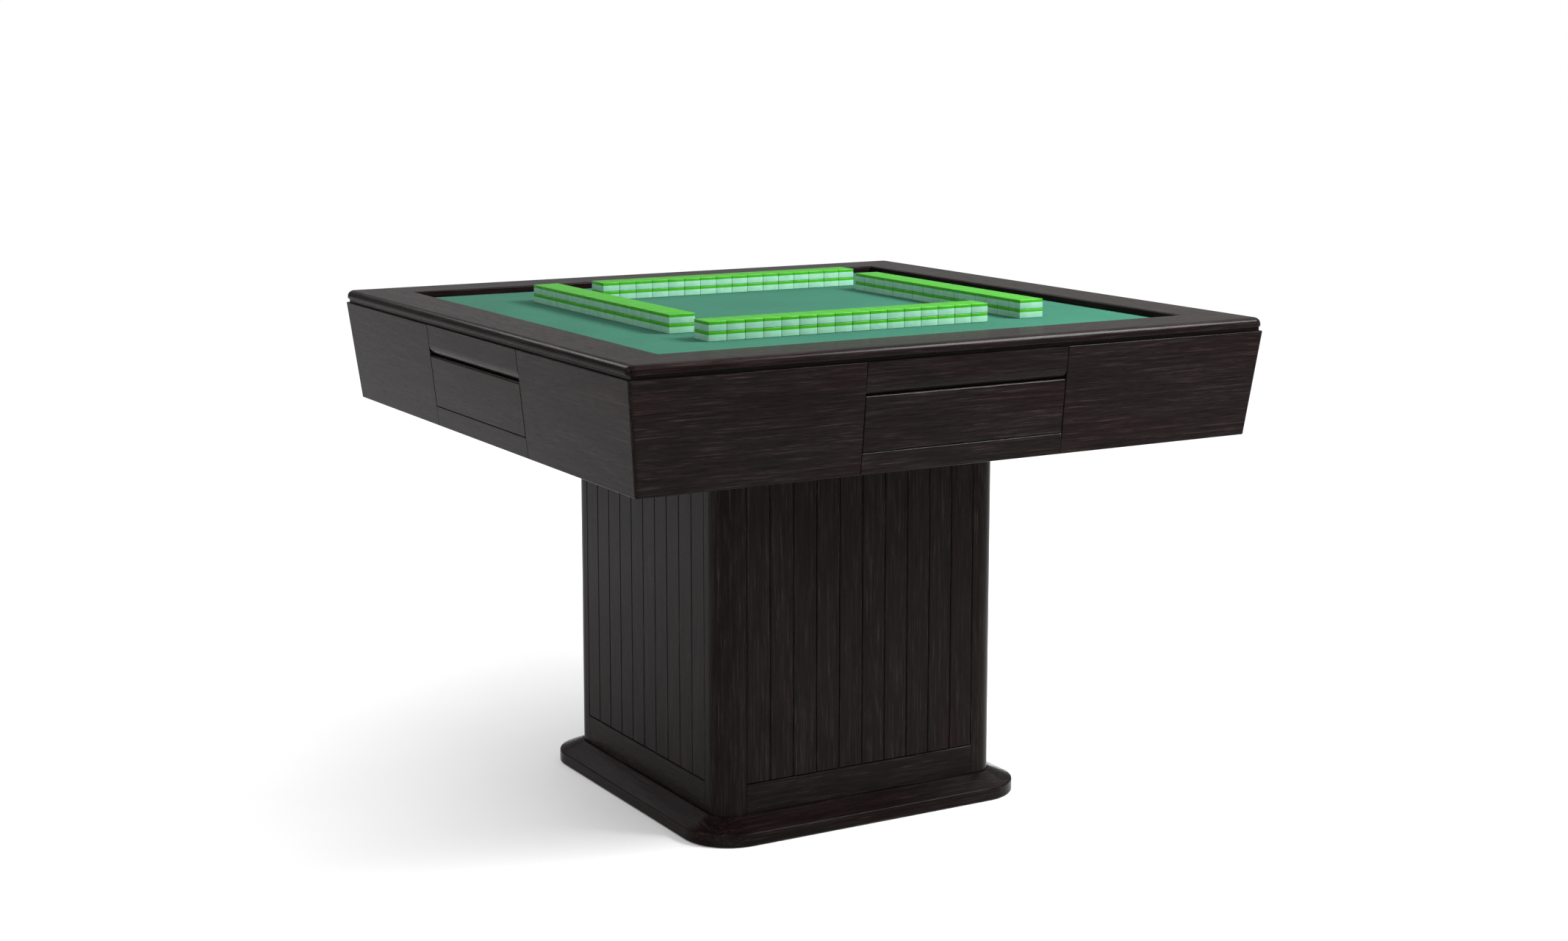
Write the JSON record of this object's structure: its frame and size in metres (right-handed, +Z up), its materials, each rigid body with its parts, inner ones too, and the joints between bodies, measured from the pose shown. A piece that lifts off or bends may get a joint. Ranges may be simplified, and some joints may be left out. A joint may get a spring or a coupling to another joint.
{
  "type": "gaming table",
  "caption": "Square gaming table: sunk felt playing field in a mitred wooden rim, tapered apron with drawers, boarded column on a plinth, walls of playing tiles.",
  "frame": {"origin": "on the floor under the middle of the table", "axes": "+Z up, the front side faces -Y, +X to the right of someone who faces the front"},
  "size_m": [1.05, 1.05, 0.7792],
  "materials": {
    "dark_wood": "very dark brown stained open-grain veneer, satin lacquer",
    "inner_wood": "plain sanded hardwood and plywood, thin clear lacquer",
    "felt": "matte green felt",
    "tile": "polished two-colour plastic, green back and pale green body",
    "steel": "zinc-plated",
    "nylon": "moulded nylon"
  },
  "bodies": {
    "table": {"plinth": "dark_wood", "column_post_front_left": "dark_wood", "column_post_front_right": "dark_wood", "column_post_back_right": "dark_wood", "column_post_back_left": "dark_wood", "column_boards_front": "dark_wood", "column_boards_right": "dark_wood", "column_boards_back": "dark_wood", "column_boards_left": "dark_wood", "column_bottom_rail_front": "dark_wood", "column_bottom_rail_right": "dark_wood", "column_bottom_rail_back": "dark_wood", "column_bottom_rail_left": "dark_wood", "upper_rail_front": "dark_wood", "upper_rail_right": "dark_wood", "upper_rail_back": "dark_wood", "upper_rail_left": "dark_wood", "lower_rail_front": "dark_wood", "lower_rail_right": "dark_wood", "lower_rail_back": "dark_wood", "lower_rail_left": "dark_wood", "corner_fascia_front_left": "dark_wood", "corner_fascia_front_right": "dark_wood", "corner_fascia_back_right": "dark_wood", "corner_fascia_back_left": "dark_wood", "spacer_frame": "dark_wood", "rim_board_front": "dark_wood", "rim_board_right": "dark_wood", "rim_board_back": "dark_wood", "rim_board_left": "dark_wood", "under_board": "dark_wood", "column_backing_panels": "inner_wood", "column_base_plate": "inner_wood", "column_top_plate": "inner_wood", "corner_blocks": "inner_wood", "drawer_partitions": "inner_wood", "drawer_runners": "inner_wood", "drawer_stops": "inner_wood", "rim_dowels": "inner_wood", "play_board": "inner_wood", "felt": "felt", "column_bolts": "steel", "floor_glides": "nylon"},
    "front_drawer": {"drawer_face_front": "dark_wood", "drawer_box_front": "inner_wood", "drawer_bottom_front": "inner_wood"},
    "front_tiles": {"tile_wall_front": "tile"},
    "right_drawer": {"drawer_face_right": "dark_wood", "drawer_box_right": "inner_wood", "drawer_bottom_right": "inner_wood"},
    "right_tiles": {"tile_wall_right": "tile"},
    "back_drawer": {"drawer_face_back": "dark_wood", "drawer_box_back": "inner_wood", "drawer_bottom_back": "inner_wood"},
    "back_tiles": {"tile_wall_back": "tile"},
    "left_drawer": {"drawer_face_left": "dark_wood", "drawer_box_left": "inner_wood", "drawer_bottom_left": "inner_wood"},
    "left_tiles": {"tile_wall_left": "tile"}
  },
  "joints": [
    {"name": "front_drawer_slide", "type": "slide", "parent": "table", "child": "front_drawer", "axis": [0, -1, 0], "range_m": [0, 0.2]},
    {"name": "right_drawer_slide", "type": "slide", "parent": "table", "child": "right_drawer", "axis": [1, 0, 0], "range_m": [0, 0.2]},
    {"name": "back_drawer_slide", "type": "slide", "parent": "table", "child": "back_drawer", "axis": [0, 1, 0], "range_m": [0, 0.2]},
    {"name": "left_drawer_slide", "type": "slide", "parent": "table", "child": "left_drawer", "axis": [-1, 0, 0], "range_m": [0, 0.2]},
    {"name": "front_tiles_lift", "type": "slide", "parent": "table", "child": "front_tiles", "axis": [0, 0, 1], "range_m": [0, 0.12]},
    {"name": "right_tiles_lift", "type": "slide", "parent": "table", "child": "right_tiles", "axis": [0, 0, 1], "range_m": [0, 0.12]},
    {"name": "back_tiles_lift", "type": "slide", "parent": "table", "child": "back_tiles", "axis": [0, 0, 1], "range_m": [0, 0.12]},
    {"name": "left_tiles_lift", "type": "slide", "parent": "table", "child": "left_tiles", "axis": [0, 0, 1], "range_m": [0, 0.12]}
  ]
}
